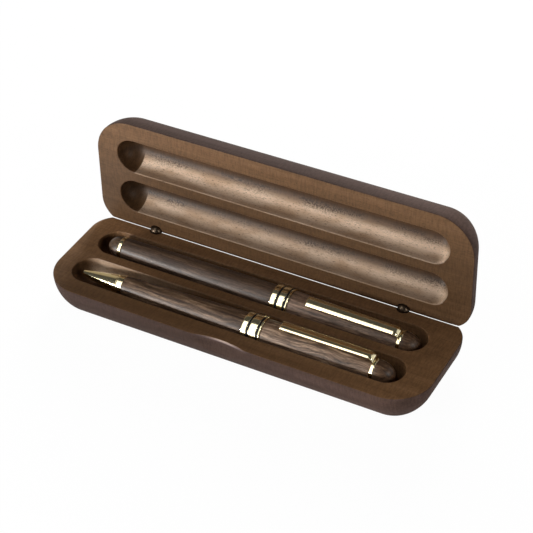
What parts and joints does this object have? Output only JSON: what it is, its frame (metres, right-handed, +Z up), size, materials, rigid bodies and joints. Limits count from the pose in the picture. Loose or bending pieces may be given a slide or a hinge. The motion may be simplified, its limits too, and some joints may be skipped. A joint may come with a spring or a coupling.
{
  "type": "fountain pen case",
  "caption": "Hinged wooden pen case, open, with round-bottomed channels in base and lid that hold a wooden fountain pen and a matching twist ballpoint.",
  "frame": {"origin": "middle of the base's underside", "axes": "+X along the case to the finial ends of the pens, +Y from the front edge to the hinges, +Z up"},
  "size_m": [0.17, 0.0675, 0.0661],
  "materials": {
    "case_wood": "satin",
    "pen_wood": "satin",
    "finial_wood": "satin",
    "gold": "polished",
    "hinge_bronze": "satin",
    "brass_tube": "satin",
    "black_enamel": "gloss",
    "black_plastic": "gloss",
    "clear_plastic": "clear",
    "refill_steel": "satin"
  },
  "bodies": {
    "base": {"case_base": "case_wood", "left_hinge_base_leaf": "hinge_bronze", "right_hinge_base_leaf": "hinge_bronze", "left_hinge_pin": "hinge_bronze", "right_hinge_pin": "hinge_bronze"},
    "lid": {"case_lid": "case_wood", "left_hinge_lid_leaf": "hinge_bronze", "right_hinge_lid_leaf": "hinge_bronze"},
    "fountain_pen": {"pen_section": "black_plastic", "pen_nib": "gold", "pen_feed": "black_plastic", "converter_tube": "clear_plastic"},
    "fountain_barrel": {"pen_barrel": "pen_wood", "pen_barrel_liner": "brass_tube", "pen_barrel_ring": "gold", "pen_barrel_end": "finial_wood", "pen_barrel_screw": "brass_tube"},
    "fountain_cap": {"cap_shell": "pen_wood", "cap_liner": "brass_tube", "inner_cap": "black_plastic", "cap_band": "gold", "cap_band_inlays": "black_enamel", "cap_clip": "gold", "cap_finial": "finial_wood", "cap_finial_screw": "brass_tube"},
    "converter_knob": {"converter_knob": "black_plastic"},
    "converter_piston": {"converter_piston": "black_plastic"},
    "ballpoint": {"ballpoint_twist_mechanism": "brass_tube", "ballpoint_band": "gold", "ballpoint_band_inlays": "black_enamel", "ballpoint_upper_barrel": "pen_wood", "ballpoint_upper_liner": "brass_tube", "ballpoint_clip": "gold", "ballpoint_finial": "finial_wood", "ballpoint_finial_screw": "brass_tube"},
    "ballpoint_lower": {"ballpoint_tip": "gold", "ballpoint_lower_barrel": "pen_wood", "ballpoint_lower_liner": "brass_tube"},
    "ballpoint_refill": {"ballpoint_refill": "refill_steel", "ballpoint_refill_holder": "black_plastic"}
  },
  "joints": [
    {"name": "lid_hinge", "type": "hinge", "parent": "base", "child": "lid", "pos_m": [0, 0.0241, 0.016], "axis": [-1, 0, 0], "range_deg": [-92, 0]},
    {"name": "fountain_pen_lift", "type": "slide", "parent": "base", "child": "fountain_pen", "axis": [0, 0, 1], "range_m": [0, 0.09]},
    {"name": "ballpoint_lift", "type": "slide", "parent": "base", "child": "ballpoint", "axis": [0, 0, 1], "range_m": [0, 0.09]},
    {"name": "cap_pull", "type": "slide", "parent": "fountain_pen", "child": "fountain_cap", "axis": [0.9999, 0, -0.0157], "range_m": [0, 0.044]},
    {"name": "barrel_unscrew", "type": "hinge", "parent": "fountain_pen", "child": "fountain_barrel", "pos_m": [0.0065, 0.0096, 0.01315], "axis": [0.9999, 0, -0.0157], "range_deg": [-360, 0]},
    {"name": "converter_knob_turn", "type": "hinge", "parent": "fountain_pen", "child": "converter_knob", "pos_m": [0.0065, 0.0096, 0.01315], "axis": [0.9999, 0, -0.0157], "range_deg": [0, 900]},
    {"name": "piston_slide", "type": "slide", "parent": "fountain_pen", "child": "converter_piston", "axis": [0.9999, 0, -0.0157], "range_m": [0, 0.01]},
    {"name": "ballpoint_twist", "type": "hinge", "parent": "ballpoint", "child": "ballpoint_lower", "pos_m": [0.0046, -0.0104, 0.01315], "axis": [1, 0, -0.0035], "range_deg": [0, 180]},
    {"name": "refill_slide", "type": "slide", "parent": "ballpoint", "child": "ballpoint_refill", "axis": [-1, 0, 0.0035], "range_m": [0, 0.003]}
  ],
  "couplings": [
    {"joint": "cap_pull", "follows": "fountain_pen_lift", "ratio": 0.48889},
    {"joint": "converter_knob_turn", "follows": "piston_slide", "rad_per_m": 1570.8},
    {"joint": "ballpoint_twist", "follows": "refill_slide", "rad_per_m": 1047.2}
  ]
}
